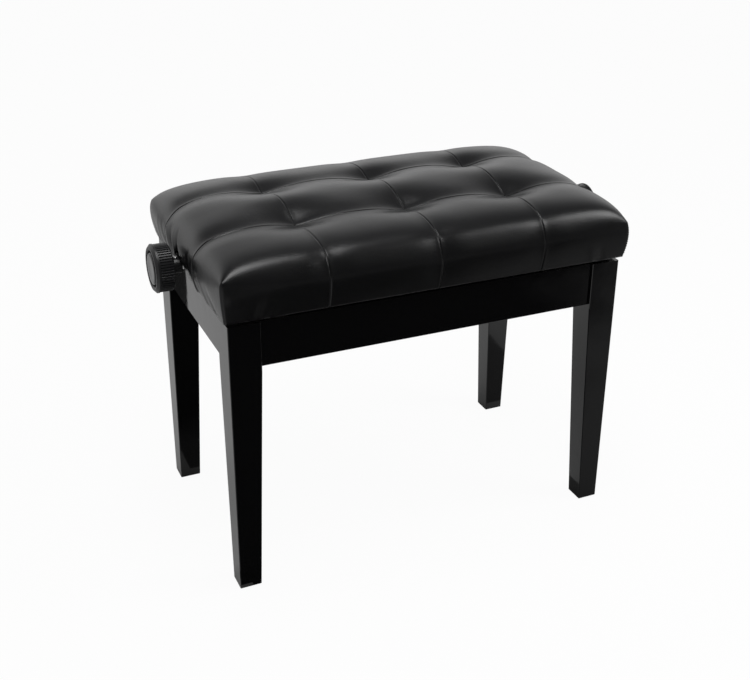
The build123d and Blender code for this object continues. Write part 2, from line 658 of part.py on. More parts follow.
# ---- every node ---------------------------------------------------------------------------
def nodes():
    for name, sx, sy in corners():
        yield f"leg_{name}", leg(sx, sy)
        yield f"corner_block_{name}", corner_block(sx, sy)
    for side, sign in SIDES.items():
        yield f"apron_{side}", apron("long", sign)
        yield f"skirt_board_{side}", skirt_board("long", sign)
        yield f"lower_rail_{side}", angle_rail(
            sign, BEARER_TOP_Z, LOW_PIVOT_Z + 14, LOW_PIVOT_Z, rail_screw_places()
        )
        yield f"upper_rail_{side}", angle_rail(
            sign, SEAT_BOARD_Z, SCREW_Z - 13, SCREW_Z, seat_screw_places()
        )
        yield f"inner_arm_{side}", arm(REST_ANGLE, LOW_PIVOT_Z, INNER_ARM_Y, sign)
        yield f"outer_arm_{side}", arm(-REST_ANGLE, SCREW_Z, OUTER_ARM_Y, sign)
    for end, sign in ENDS.items():
        yield f"apron_{end}", apron("end", sign)
        yield f"skirt_board_{end}", skirt_board("end", sign)
        yield f"bearer_{end}", bearer(sign)
        yield f"bearing_plate_{end}", bearing_plate(sign)
        yield f"knob_{end}", knob(sign)
        yield f"knob_cap_{end}", knob_cap(sign)
    yield "foot_pads", foot_pads()
    yield "dowels", dowels()
    yield "corner_bolts", corner_bolts()
    yield "corner_nuts", corner_nuts()
    yield "rail_screws", group([wood_screw(*place) for place in rail_screw_places()])
    yield "lower_pivot_shaft", headed_pin(RAIL_OUT_Y, 8.0, 3.0, PIVOT_X, LOW_PIVOT_Z)
    yield "hinge_tube", hinge_tube()
    yield "centre_shaft", headed_pin(OUTER_ARM_Y + 0.2, 7.0, 2.5, CENTRE_X, CENTRE_Z)
    yield "slide_shaft", slide_shaft()
    yield "slide_rollers", rollers(SLIDE_REST_X, LOW_PIVOT_Z)
    yield "slide_clips", clips(SLIDE_REST_X, LOW_PIVOT_Z)
    yield "nut_bar", nut_bar()
    yield "lead_nut", lead_nut()
    yield "nut_rollers", rollers(SLIDE_REST_X, SCREW_Z)
    yield "nut_clips", clips(SLIDE_REST_X, SCREW_Z)
    yield "upper_pivot_pins", upper_pivot_pins()
    yield "spindle_bushes", spindle_bushes()
    yield "thrust_collars", thrust_collars()
    yield "collar_screws", collar_screws()
    yield "lead_screw", lead_screw()
    yield "knob_screws", knob_screws()
    yield "seat_screws", group([wood_screw(*place) for place in seat_screw_places()])
    yield "skirt_screws", skirt_screws()
    yield "seat_board", seat_board()
    yield "firm_foam", firm_foam()
    yield "seat_cushion", seat_cushion()


os.makedirs("parts", exist_ok=True)
for node, solid in nodes():
    export_step(solid, f"parts/{node}.step")
    print(node, len(solid.solids()), round(solid.volume))
print("lift from", round(REST_ANGLE, 4), "to", round(TOP_ANGLE, 4), "degrees")
print("nut travels", round(SLIDE_REST_X - SLIDE_TOP_X, 3), "from x", round(SLIDE_REST_X, 3))
print("centre pivot", round(CENTRE_X, 4), round(CENTRE_Z, 4))
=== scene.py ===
# %% [markdown]
# # A height-adjustable piano bench
#
# The bench has three parts that a player sees: a frame of black lacquered wood, a tufted
# seat in black leatherette, and a knob at each end. Between frame and seat, mostly out of
# sight, is a steel scissor lift that the knobs drive through one lead screw.
#
# The solids come from a CAD model, already in place and in metres. This script dresses them:
# rigid parts keep their CAD shape and get a finish, and the soft seat is made anew as sewn
# cloth blown up over its foam. It could all have been modelled here by eye, but then nothing
# would be sure to fit when the lift goes up.

# %% Load the frame
import json
import math

import bmesh
import bpy
import numpy as np
from mathutils import Matrix, Vector, noise


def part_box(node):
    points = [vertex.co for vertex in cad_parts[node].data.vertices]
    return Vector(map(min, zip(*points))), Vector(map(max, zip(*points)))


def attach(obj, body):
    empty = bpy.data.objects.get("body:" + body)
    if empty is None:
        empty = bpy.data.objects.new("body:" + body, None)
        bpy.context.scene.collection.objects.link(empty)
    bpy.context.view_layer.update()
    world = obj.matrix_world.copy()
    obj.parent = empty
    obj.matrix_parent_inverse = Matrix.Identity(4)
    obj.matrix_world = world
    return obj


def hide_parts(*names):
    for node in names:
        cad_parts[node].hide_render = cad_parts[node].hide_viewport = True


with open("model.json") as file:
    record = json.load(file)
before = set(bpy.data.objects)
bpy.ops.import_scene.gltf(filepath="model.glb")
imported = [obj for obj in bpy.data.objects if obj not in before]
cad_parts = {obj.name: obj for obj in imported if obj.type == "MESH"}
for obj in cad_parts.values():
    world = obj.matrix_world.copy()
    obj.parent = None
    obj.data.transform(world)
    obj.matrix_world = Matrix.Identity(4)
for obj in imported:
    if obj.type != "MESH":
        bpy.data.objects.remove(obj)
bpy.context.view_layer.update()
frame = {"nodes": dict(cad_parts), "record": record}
cad_nodes = frame["nodes"]
MM = 0.001


# %% New objects
def put(name, data):
    """Puts an object that shows the data into the scene."""
    thing = bpy.data.objects.new(name, data)
    bpy.context.collection.objects.link(thing)
    return thing


def to_object(shape, name):
    """Ends a bmesh as an object of its own."""
    mesh = bpy.data.meshes.new(name)
    shape.to_mesh(mesh)
    shape.free()
    return put(name, mesh)


def flat_sheet(name, rectangles, height):
    """One mesh of level rectangles: low x, high x, low y and high y of each, in metres."""
    corners = [
        (x, y, height)
        for west, east, south, north in rectangles
        for x, y in ((west, south), (east, south), (east, north), (west, north))
    ]
    mesh = bpy.data.meshes.new(name)
    mesh.from_pydata(corners, [], [range(4 * i, 4 * i + 4) for i in range(len(rectangles))])
    return put(name, mesh)


# %% [markdown]
# ## Camera
#
# The bench is seen from in front and a little from its left, from about the height of a
# standing person's chest. A camera can be aimed with a Track To constraint or by angles.
# Angles were chosen, because they also hold the slight tilt of a camera held by hand.

# %% Camera
CAMERA_PLACE = Vector((-602.3, -1337.5, 955.7)) * MM
CAMERA_TURN, CAMERA_DIP, CAMERA_TILT = (math.radians(a) for a in (26.38, 25.38, 1.52))
SENSOR_WIDTH, FOCAL_LENGTH = 36, 56.67  # in mm
SHIFT_RIGHT, SHIFT_UP = -0.0667, -0.0227  # in widths of the frame


def aim(turn, dip, tilt):
    """The camera's axes when it looks along +Y, turned to the right, dipped and tilted."""
    ahead = Vector(
        (math.sin(turn) * math.cos(dip), math.cos(turn) * math.cos(dip), -math.sin(dip))
    )
    right = Vector((math.cos(turn), -math.sin(turn), 0))
    up = right.cross(ahead)
    tilted_right = right * math.cos(tilt) + up * math.sin(tilt)
    tilted_up = up * math.cos(tilt) - right * math.sin(tilt)
    return Matrix((tilted_right, tilted_up, -ahead)).transposed()


camera = put("camera", bpy.data.cameras.new("camera"))
camera.matrix_world = Matrix.LocRotScale(
    CAMERA_PLACE, aim(CAMERA_TURN, CAMERA_DIP, CAMERA_TILT).to_quaternion(), None
)
camera.data.sensor_width, camera.data.lens = SENSOR_WIDTH, FOCAL_LENGTH
camera.data.shift_x, camera.data.shift_y = SHIFT_RIGHT, SHIFT_UP
bpy.context.scene.camera = camera
bpy.context.scene.view_settings.view_transform = "Standard"
print("camera", round(camera.location.length, 2), "m from the origin")

# %% [markdown]
# ## Writing shader nodes as sums
#
# A finish is a small graph of nodes. Placing and linking each one by hand makes long code
# that hides the idea. Here a class wraps a node's output, so that `0.3 + 0.1 * speckle`
# adds the Math nodes by itself, and one method makes every other kind of node.


# %% Nodes
class Value:
    """What comes out of a node. Numbers and values take part in ordinary sums."""

    def __init__(self, graph, socket):
        self.graph, self.socket = graph, socket

    def math(self, operation, other):
        return self.graph.node("ShaderNodeMath", {"operation": operation}, {0: self, 1: other})

    def __add__(self, other):
        return self.math("ADD", other)

    def __mul__(self, other):
        return self.math("MULTIPLY", other)

    __radd__, __rmul__ = __add__, __mul__


class Graph:
    """The node tree of a material or world."""

    def __init__(self, owner):
        owner.use_nodes = True
        self.owner, self.tree = owner, owner.node_tree
        self.tree.nodes.clear()

    def node(self, kind, settings=None, inputs=None, output=None):
        """Adds a node: its settings first, then the values or links of its sockets."""
        node = self.tree.nodes.new(kind)
        for name, value in (settings or {}).items():
            if name == "stops":
                ramp = node.color_ramp
                while len(ramp.elements) < len(value):
                    ramp.elements.new(1.0)
                for element, (place, colour) in zip(ramp.elements, value):
                    element.position, element.color = place, (*colour, 1.0)
            else:
                setattr(node, name, value)
        for name, value in (inputs or {}).items():
            if isinstance(name, int):
                socket = node.inputs[name]
            else:
                socket = next(s for s in node.inputs if s.name == name and s.enabled)
            if isinstance(value, Value):
                self.tree.links.new(value.socket, socket)
            else:
                socket.default_value = value
        outputs = [s for s in node.outputs if s.enabled and output in (None, s.name)]
        return Value(self, outputs[0] if outputs else None)

    def axis(self, vector, letter):
        """One part of a vector: X, Y or Z."""
        return self.node("ShaderNodeSeparateXYZ", inputs={"Vector": vector}, output=letter)

    def ray(self, kind):
        """1 where light of one kind is asked for, as by Is Camera Ray, and otherwise 0."""
        return self.node("ShaderNodeLightPath", output=kind)

    def ramp(self, factor, *stops):
        """A colour for each factor: every stop is a place and its colour."""
        return self.node("ShaderNodeValToRGB", {"stops": stops}, {"Fac": factor})

    def blend(self, factor, first, second):
        settings = {"data_type": "RGBA", "clamp_factor": True}
        return self.node("ShaderNodeMix", settings, {"Factor": factor, "A": first, "B": second})


def rgb(red, green, blue):
    return (red, green, blue, 1.0)


def grey(level):
    return (level, level, level)


WHITE = rgb(1, 1, 1)

# %% [markdown]
# ## Floor, room and lamps
#
# The bench stands in a white studio. The floor is pale, and bright enough to the camera to
# read as white, while its shadow stays. A room could be built round it. A world colour does
# the same for less: behind the bench it is white near the horizon, where a shiny black
# surface finds its sheen, and dark overhead, so that the soft lamp there shows as a
# highlight of its own. In front, on the camera's side, it is dark all the way up.

# %% Floor
FLOOR_COLOUR = rgb(0.58, 0.58, 0.58)
GLOW_TO_CAMERA, GLOW_TO_SHINE = 0.95, 0.04

floor = flat_sheet("floor", [(-12, 12, -12, 12)], 0)

pale = Graph(bpy.data.materials.new("pale_floor"))
glow = pale.ray("Is Camera Ray") * GLOW_TO_CAMERA
for kind in ("Is Glossy Ray", "Is Transmission Ray"):
    glow = glow + pale.ray(kind) * GLOW_TO_SHINE
shade = pale.node(
    "ShaderNodeMixShader",
    inputs={
        0: glow,
        1: pale.node("ShaderNodeBsdfDiffuse", inputs={"Color": FLOOR_COLOUR}),
        2: pale.node("ShaderNodeEmission", inputs={"Color": WHITE, "Strength": 1.0}),
    },
)
pale.node("ShaderNodeOutputMaterial", inputs={"Surface": shade})
floor.data.materials.append(pale.owner)

# %% Room
ROOM_LIGHT = 0.72

world = bpy.data.worlds.new("studio")
bpy.context.scene.world = world
room = Graph(world)
direction = room.node("ShaderNodeTexCoord", output="Generated")
height, behind = room.axis(direction, "Z"), room.axis(direction, "Y")
backdrop_wall = room.ramp(height, (0.34, grey(1.0)), (0.70, (0.14, 0.14, 0.145)))
front_wall = room.ramp(height, (0.0, grey(0.05)), (0.5, grey(0.03)))
walls = room.blend(0.5 + 1.2 * behind, front_wall, backdrop_wall)
camera_ray, glossy_ray = room.ray("Is Camera Ray"), room.ray("Is Glossy Ray")
glass_ray = room.ray("Is Transmission Ray")
shown = room.blend(camera_ray, walls, WHITE)
ambient = room.node("ShaderNodeBackground", inputs={"Color": WHITE, "Strength": ROOM_LIGHT})
backdrop = room.node("ShaderNodeBackground", inputs={"Color": shown, "Strength": 1.0})
light = room.node(
    "ShaderNodeMixShader",
    inputs={0: camera_ray + glossy_ray + glass_ray, 1: ambient, 2: backdrop},
)
room.node("ShaderNodeOutputWorld", inputs={"Surface": light})
print("a room that lights the bench at", ROOM_LIGHT)


# %% Lamps
def softbox(name, place, target, size, power):
    """A rectangular soft lamp, in metres and watts, that the camera doesn't see."""
    lamp = bpy.data.lights.new(name, "AREA")
    lamp.shape, lamp.energy = "RECTANGLE", power
    lamp.size, lamp.size_y = size
    box = put(name, lamp)
    box.location = place
    box.rotation_mode = "QUATERNION"
    facing = Vector(target) - Vector(place)
    box.rotation_quaternion = facing.to_track_quat("-Z", "Y")
    box.visible_camera = False


above, beside = (-0.14, -0.20, 1.85), (1.30, -0.66, 1.45)
softbox("top_softbox", above, target=(-0.1, -0.1, 0.4), size=(0.42, 0.95), power=13)
softbox("right_softbox", beside, target=(0.2, 0, 0.4), size=(0.7, 0.75), power=14)
print("2 soft lamps")

# %% [markdown]
# ## Dark cards on the floor
#
# Black lacquer is a mirror, and a pale floor in front would turn the front of the legs and
# apron grey. A studio lays dark cards on it just out of view. Here the cards are painted
# reflection: sheets seen only in reflections, which cast no shadow and light nothing. They
# are blackest in front on the left, and paler towards the back and the right, with soft
# patches, and this painted reflection gives the lacquer its slow change of tone. Rougher
# lacquer would hide the floor too, but it would lose the depth of a polished piano finish.

# %% Dark cards
CARDS = [  # low x, high x, low y and high y, in metres
    (-0.30, 4.0, -4.0, -0.16),
    (-0.25, -0.12, -0.16, 0.112),
    (0.22, 0.36, -0.16, 0.112),
]
CARD_HEIGHT = 3 * MM

dark_cards = flat_sheet("dark_cards", CARDS, CARD_HEIGHT)
black = Graph(bpy.data.materials.new("black_card"))
spot = black.node("ShaderNodeTexCoord", output="Object")
rightward, backward = black.axis(spot, "X"), black.axis(spot, "Y")
# The cards' tone, paler to the rear right and in soft patches, is painted reflection: it shows
# only in the lacquer.
reflection_patches = black.node("ShaderNodeTexNoise", inputs={"Vector": spot, "Scale": 4.5, "Detail": 2.0})
paleness = rightward * 1.1 + backward * 1.14 + reflection_patches * 0.6 + 0.29
tone = black.ramp(paleness, (0.30, grey(0.012)), (0.62, grey(0.20)))
shade = black.node("ShaderNodeBsdfDiffuse", inputs={"Color": tone})
black.node("ShaderNodeOutputMaterial", inputs={"Surface": shade})
dark_cards.data.materials.append(black.owner)
dark_cards.visible_camera = dark_cards.visible_diffuse = dark_cards.visible_shadow = False
print(len(CARDS), "dark cards")

# %% [markdown]
# ## The finishes
#
# Almost everything in sight is black, so the pieces are told apart by how they shine: the
# lacquer like a still pool, the leatherette with a broad soft sheen, the knobs dull, their
# caps smoother. Every finish below is one Principled shader. Small patterns feed its colour,
# roughness and bump; what is the same all over is written on the shader itself.


# %% A finish
class Finish(Graph):
    """A material that ends in one Principled shader."""

    def __init__(self, name):
        super().__init__(bpy.data.materials.new(name))
        self.place = self.node("ShaderNodeTexCoord", output="Object")

    def stretched(self, x, y, z):
        """The place on the piece, stretched along an axis where its number is small."""
        inputs = {0: self.place, 1: (x, y, z)}
        return self.node("ShaderNodeVectorMath", {"operation": "MULTIPLY"}, inputs)

    def speckle(self, per_metre, detail=2.0, rough=0.5, where=None):
        """Soft noise from 0 to 1, with so many blotches to the metre."""
        values = {"Vector": where or self.place, "Scale": per_metre}
        values.update({"Detail": detail, "Roughness": rough})
        return self.node("ShaderNodeTexNoise", inputs=values, output="Fac")

    def pebbles(self, per_metre):
        """Distance from the middle of each small cell, as in grained skins and foam."""
        inputs = {"Vector": self.place, "Scale": per_metre}
        return self.node("ShaderNodeTexVoronoi", {"feature": "F1"}, inputs, output="Distance")

    def tints(self, factor, *colours):
        """A colour that runs evenly through a list as the factor goes from 0 to 1."""
        last = len(colours) - 1
        return self.ramp(factor, *[(i / last, colour) for i, colour in enumerate(colours)])

    def relief(self, height, depth, strength=1.0, under=None):
        """A bump whose full height is so many metres."""
        inputs = {"Height": height, "Distance": depth, "Strength": strength}
        if under:
            inputs["Normal"] = under
        return self.node("ShaderNodeBump", inputs=inputs)

    def shine(self, **looks):
        """The shader itself; names are its sockets' own, with underscores for spaces."""
        names = {name.replace("_", " "): value for name, value in looks.items()}
        surface = self.node("ShaderNodeBsdfPrincipled", inputs=names)
        self.node("ShaderNodeOutputMaterial", inputs={"Surface": surface})
        return self.owner


# %% Lacquer
def black_lacquer():
    """Polyester lacquer, buffed: deep black, faintly wavy, with hairline marks and dust."""
    f = Finish("black_lacquer")
    smears = f.speckle(9, 3)
    hairlines = f.speckle(60, 3, 0.6, f.stretched(9, 9, 0.6))
    dust = f.pebbles(230).math("LESS_THAN", 0.055)
    wave = f.relief(f.speckle(55, 1), 0.0006, 0.18)
    return f.shine(
        Base_Color=f.blend(dust * 0.35, rgb(0.0018, 0.0018, 0.002), rgb(0.03, 0.03, 0.03)),
        Roughness=0.045 + 0.05 * smears + 0.03 * hairlines,
        Normal=wave,
        IOR=1.48,
    )


# %% Leatherette
def leatherette():
    """Grained vinyl over foam: fine pebbles, a soft sheen, duller where it is handled."""
    f = Finish("leatherette")
    grain = f.pebbles(820)
    fine = f.speckle(1500, 2)
    handled = f.speckle(14, 3)
    creases = f.speckle(120, 2, 0.5, f.stretched(1.0, 0.35, 1.0))
    patches = f.ramp(f.speckle(11, 1), (0.56, grey(0)), (0.70, grey(1)))
    wrinkles = f.node(
        "ShaderNodeTexVoronoi",
        {"feature": "DISTANCE_TO_EDGE"},
        {"Vector": f.stretched(1.0, 0.45, 0.6), "Scale": 190, "Randomness": 1.0},
        output="Distance",
    )
    lines = (wrinkles * 9).math("MINIMUM", 1.0)
    skin = f.relief(grain * 0.6 + fine * 0.4, 0.00022, 0.6)
    skin = f.relief(creases, 0.0006, 0.12, skin)
    skin = f.relief(lines * patches, 0.00015, 0.35, skin)
    return f.shine(
        Base_Color=f.tints(handled, (0.0022, 0.0022, 0.0024), (0.0045, 0.0045, 0.0049)),
        Roughness=0.24 + 0.08 * handled + 0.05 * grain,
        Normal=skin,
        IOR=1.40,
    )


# %% Woods
def plain_wood(name, pale, dark, along, rings):
    """Bare wood with its grain along X or Y: bands drawn out lengthwise, and fine pores."""
    f = Finish(name)
    stretch = (0.06, 1, 1) if along == "x" else (1, 0.06, 1)
    figure = f.speckle(rings, 3, 0.55, f.stretched(*stretch))
    pores = f.speckle(rings * 14, 2, 0.6, f.stretched(*stretch))
    return f.shine(
        Base_Color=f.tints(0.65 * figure + 0.35 * pores, dark, pale, dark),
        Roughness=0.55 + 0.15 * pores,
        Normal=f.relief(pores, 0.0003, 0.4),
    )


# %% Foam
def foam():
    """Firm rebonded foam: small open cells, with painted shade in the pit of each."""
    f = Finish("foam")
    cells = f.pebbles(700)
    return f.shine(
        # Darker towards the middle of each cell, where its bump sinks: painted shade.
        Base_Color=f.tints(cells, (0.42, 0.36, 0.20), (0.80, 0.74, 0.52)),
        Roughness=0.9,
        Normal=f.relief(cells, 0.0006, 0.6),
    )


# %% Metals
def black_steel():
    """Pressed steel under black stove enamel, a little pitted and rubbed."""
    f = Finish("black_steel")
    pits = f.speckle(420, 3, 0.6)
    rubbed = f.speckle(26, 4, 0.6)
    return f.shine(
        Base_Color=f.tints(rubbed, (0.012, 0.012, 0.013), (0.03, 0.03, 0.031)),
        Roughness=0.30 + 0.16 * rubbed + 0.08 * pits,
        Normal=f.relief(pits, 0.0003, 0.25),
    )


def bright_metal(name, pale, dark, stretch):
    """Bare or plated metal with the fine lines of the lathe, drawn out by the stretch."""
    f = Finish(name)
    lines = f.speckle(900, 2, 0.6, f.stretched(*stretch))
    stains = f.speckle(40, 3)
    return f.shine(
        Base_Color=f.tints(0.6 * stains + 0.4 * lines, dark, pale),
        Metallic=1.0,
        Roughness=0.22 + 0.14 * lines + 0.10 * stains,
        Normal=f.relief(lines, 0.0001, 0.3),
    )


# %% Plastics
def moulded(name, colour, roughness, texture, strength):
    """Moulded plastic: one colour, with the spark-eroded texture of its mould."""
    f = Finish(name)
    spark = f.speckle(texture, 2, 0.7)
    cloud = f.speckle(70, 2)
    darker = tuple(0.75 * c for c in colour)
    return f.shine(
        Base_Color=f.tints(cloud, darker, colour),
        Roughness=(roughness - 0.04) + 0.08 * spark + 0.04 * cloud,
        Normal=f.relief(spark, 0.0002, strength),
        IOR=1.40,
    )


# %% Give each CAD node its finish
WOODS = {  # pale, dark, which way the grain runs, rings to the metre
    "pine": ((0.050, 0.042, 0.036), (0.028, 0.024, 0.021), "y", 160),
    "beech": ((0.70, 0.50, 0.33), (0.58, 0.39, 0.24), "x", 420),
    "plywood": ((0.045, 0.038, 0.032), (0.024, 0.020, 0.017), "x", 120),
}
METALS = {  # pale, dark, how the lathe's lines are drawn out
    "zinc_steel": ((0.66, 0.66, 0.65), (0.42, 0.42, 0.43), (1, 0.1, 1)),
    "brass": ((0.80, 0.60, 0.27), (0.60, 0.42, 0.17), (1, 0.1, 0.1)),
}
PLASTICS = {  # colour, roughness, marks to the metre, how strong they are
    "nylon": ((0.80, 0.78, 0.72), 0.42, 500, 0.2),
    "knob_plastic": ((0.010, 0.010, 0.011), 0.36, 700, 0.03),
    "cap_plastic": ((0.012, 0.012, 0.013), 0.15, 500, 0.01),
    "thread": ((0.020, 0.020, 0.021), 0.40, 2400, 0.5),
    "foot_plastic": ((0.02, 0.02, 0.02), 0.6, 700, 0.4),
}
finishes = {"black_lacquer": black_lacquer(), "leatherette": leatherette()}
finishes.update({name: plain_wood(name, *looks) for name, looks in WOODS.items()})
finishes.update({"foam": foam(), "black_steel": black_steel()})
finishes.update({name: bright_metal(name, *looks) for name, looks in METALS.items()})
finishes.update({name: moulded(name, *looks) for name, looks in PLASTICS.items()})
slot_of = {part["node"]: part["material_slot"] for part in frame["record"]["subparts"]}
for name, node in cad_nodes.items():
    for place in node.material_slots:
        place.material = finishes[slot_of[name]]
print(len(finishes), "finishes on", len(slot_of), "nodes")

# %% [markdown]
# ## Soft arrises
#
# Lacquer gathers on an edge and rounds it, and that round is what catches the light. The
# CAD edges are cut at one flat slant. A Bevel modifier turns the slant into a small curve
# without touching the mesh itself.

# %% Round the lacquered edges
ARRIS_WIDTH, SHARPEST_ROUND = 0.45 * MM, math.radians(25)

lacquered = [name for name, slot in slot_of.items() if slot == "black_lacquer"]
for name in lacquered:
    arris = cad_nodes[name].modifiers.new("arris", "BEVEL")
    arris.width, arris.segments, arris.angle_limit = ARRIS_WIDTH, 2, SHARPEST_ROUND
    arris.harden_normals = True
print(len(lacquered), "lacquered pieces with soft arrises")

# %% [markdown]
# ## The thread of the lead screw
#
# The CAD lead screw is a plain rod, since its thread would only slow the checks. Up close
# a plain rod under the seat looks unfinished, so the rod gets a real helix here: rings of
# points whose radius follows a trapezoid thread as it turns. The thread runs out short of
# the bearing plates, and the plain ends carry the knobs.

# %% Cut the thread
PITCH, THREAD_DEPTH, AROUND, STEPS_A_TURN = 3 * MM, 1.0 * MM, 30, 6
THREAD_END, RUN_OUT, BEVEL = 192 * MM, 2 * MM, 1.0 * MM
CREST, FLANK = 0.30, 0.20  # in turns


def thread_depth(share):
    """Depth of a trapezoid thread, from 0 at the crest to 1 at the root, over one turn."""
    share %= 1.0
    leaving_crest, leaving_root = (share - CREST) / FLANK, (1.0 - share) / FLANK
    return max(0.0, min(1.0, leaving_crest, leaving_root))


def screw_rings(low, high):
    """Where each ring of points stands along X, and the radius at each of its points."""
    radius = (high.z - low.z) / 2
    plain = np.full(AROUND, radius)
    end = [(high.x - BEVEL, plain), (high.x, plain - BEVEL)]
    yield from [(-x, r) for x, r in reversed(end)]
    count = round(2 * THREAD_END / PITCH) * STEPS_A_TURN
    for i in range(count + 1):
        x = -THREAD_END + 2 * THREAD_END * i / count
        fading = min(1.0, (THREAD_END - abs(x)) / RUN_OUT)
        turns = [x / PITCH + k / AROUND for k in range(AROUND)]
        yield x, plain - THREAD_DEPTH * fading * np.array([thread_depth(t) for t in turns])
    yield from end


def turned_piece(name, rings, low, high):
    """A closed mesh through rings round the middle of a box: (place along X, radii) each."""
    middle_y, middle_z = (low.y + high.y) / 2, (low.z + high.z) / 2
    shape = bmesh.new()
    made = []
    for x, radii in rings:
        turns = [2 * math.pi * k / len(radii) for k in range(len(radii))]
        spots = [
            (x, middle_y + r * math.cos(turn), middle_z + r * math.sin(turn))
            for r, turn in zip(radii, turns)
        ]
        made.append([shape.verts.new(spot) for spot in spots])
    for one, other in zip(made, made[1:]):
        for k in range(len(one)):
            after = (k + 1) % len(one)
            face = shape.faces.new((one[k], one[after], other[after], other[k]))
            face.smooth = True
    shape.faces.new(made[0])
    shape.faces.new(made[-1])
    bmesh.ops.recalc_face_normals(shape, faces=shape.faces)
    return to_object(shape, name)


def stand_for(piece, node, slot):
    """Puts a turned piece in the place of its CAD node. All of them turn with the screw."""
    piece.data.materials.append(finishes[slot])
    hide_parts(node)
    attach(piece, "spindle")


low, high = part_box("lead_screw")
screw = turned_piece("threaded_screw", screw_rings(low, high), low, high)
stand_for(screw, "lead_screw", "zinc_steel")
print(round(2 * THREAD_END / PITCH), "turns of thread")

# %% [markdown]
# ## The caps of the knobs
#
# Each knob is closed by a cap: a low drum in the dish of the knob, with a steep wall, a
# rounded edge and a shallow hollow. The CAD cap is a flat disc that fills the dish. The cap
# could be sculpted from a sphere, but turning a drawn profile is how its mould was made.

# %% Turn the caps
CAP_AROUND = 96
# From the back to the middle of the front: how far from the back, and the radius, in mm.
CAP_PROFILE = [
    *[(0.0, 22.6), (0.35, 22.4), (0.4, 21.2), (0.5, 20.7), (1.0, 20.3), (1.9, 20.2)],
    *[(2.7, 19.9), (3.3, 19.3), (3.75, 18.4), (4.0, 17.2), (4.05, 15.5), (3.85, 11.0)],
    *[(3.7, 6.0), (3.65, 1.0)],
]

for side, way in (("left", -1), ("right", 1)):
    low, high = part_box("knob_cap_" + side)
    back = high.x if side == "left" else low.x
    rings = [(back + way * out * MM, [r * MM] * CAP_AROUND) for out, r in CAP_PROFILE]
    cap = turned_piece("domed_cap_" + side, rings, low, high)
    stand_for(cap, "knob_cap_" + side, "cap_plastic")
print("2 caps turned from", len(CAP_PROFILE), "rings each")

# %% [markdown]
# ## The seat cover: the flat pattern
#
# The seat is one skin of leatherette, sewn from strips and drawn over foam: three seams run
# across and two along, and where they cross, a strong thread pulls the skin down into a
# tuft. The four sides hang as skirts, sewn to each other only at the corners.
#
# It could be sculpted as one block, but then the seams would have to be guessed afterwards.
# Here the cover is laid out flat first, like the real pattern: a rectangle with four flaps.
# Each point keeps its place (u, v) on the pattern, so any seam can be found again later.

# %% Sizes of the seat
box_low, box_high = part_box("seat_cushion")
# The top edge, where the seat turns over into its skirts, lies inside the CAD cushion's box.
EDGE_X, EDGE_Y = box_high.x - 10.5 * MM, box_high.y - 7 * MM
EDGE_Z = box_high.z - 37 * MM
HEM_Z = box_low.z + 0.6 * MM
DROP = EDGE_Z - HEM_Z
SEAT_Z, TUFT_Z = box_high.z - 2 * MM, box_high.z - 19 * MM
SEAMS_ACROSS = (-144 * MM, 0.0, 144 * MM)
SEAMS_ALONG = (-61 * MM, 61 * MM)
TUFTS = [(x, y) for x in SEAMS_ACROSS for y in SEAMS_ALONG]
print("seat", round(2 * EDGE_X, 3), "by", round(2 * EDGE_Y, 3), "m at its top edge")


# %% Lay out the pattern
THREAD_GAP = 4.6 * MM
NOTCH = 15 * MM  # half the width of the opening for the knobs' shaft


def spaced(*stops):
    """Places along one side of the pattern that take in each stop, about evenly spaced."""
    places = [stops[0]]
    for start, end in zip(stops, stops[1:]):
        count = max(1, round((end - start) / THREAD_GAP))
        places += [start + (end - start) * i / count for i in range(1, count + 1)]
    return places


across = spaced(-EDGE_X - DROP, -EDGE_X, *SEAMS_ACROSS, EDGE_X, EDGE_X + DROP)
along = spaced(
    *(-EDGE_Y - DROP, -EDGE_Y, SEAMS_ALONG[0], -NOTCH),
    *(NOTCH, SEAMS_ALONG[1], EDGE_Y, EDGE_Y + DROP),
)
first_x, last_x = across.index(-EDGE_X), across.index(EDGE_X)
first_y, last_y = along.index(-EDGE_Y), along.index(EDGE_Y)
print("pattern of", len(across), "by", len(along), "threads")

# %% [markdown]
# ## The seat cover: from pattern to slack cover
#
# The skin is first put roughly in place: the middle as a low dome with its tufts pulled
# down, the flaps hanging. The sides bow out a little, but not at the sewn corners. A seat
# that is drawn over by hand and sat on is never even, so its corners differ, its front is
# pressed down, and its seams and tufts are a few millimetres off their grid.


# %% Slack shape
# At each corner: how far its top sinks, how far it is pushed in, and the same for its hem.
CORNERS = {
    (-1, -1): (-4 * MM, -0.5 * MM, 2.5 * MM),
    (1, -1): (6 * MM, 2 * MM, 3.5 * MM),
    (-1, 1): (8 * MM, 2 * MM, 4.5 * MM),
    (1, 1): (6 * MM, 2.5 * MM, 4 * MM),
}


def dome(share, fullness):
    """1 over the seat and 0 at its edge; the fuller, the nearer to the edge it rolls over."""
    return max(0.0, 1 - abs(share) ** fullness) ** 0.5


# How far each seam across is pulled down, and in at its end: in front, then at the rear.
PULLS = {
    SEAMS_ACROSS[0]: ((2.5 * MM, 4 * MM), (2.5 * MM, 2.5 * MM)),
    SEAMS_ACROSS[1]: ((2.5 * MM, 4 * MM), (2.5 * MM, 2.5 * MM)),
    SEAMS_ACROSS[2]: ((1.5 * MM, 2.5 * MM), (2.5 * MM, 2.5 * MM)),
}
PULL_WIDTH = 19 * MM


def bell(gap, width):
    """1 where the gap is 0, fading to nothing over about twice the width."""
    return math.exp(-((gap / width) ** 2))


def pull(x, y):
    """How far the nearest seam across pulls the skin down and in."""
    seam = min(SEAMS_ACROSS, key=lambda a: abs(x - a))
    down, inward = PULLS[seam][0 if y < 0 else 1]
    fading = bell(x - seam, PULL_WIDTH)
    return down * fading, inward * fading


FRONT_FALL, MORE_AT_LEFT = 5.5, 3  # in mm
FALL_START, FALL_RUN, FALL_SPREAD = 20 * MM, 135 * MM, 180 * MM


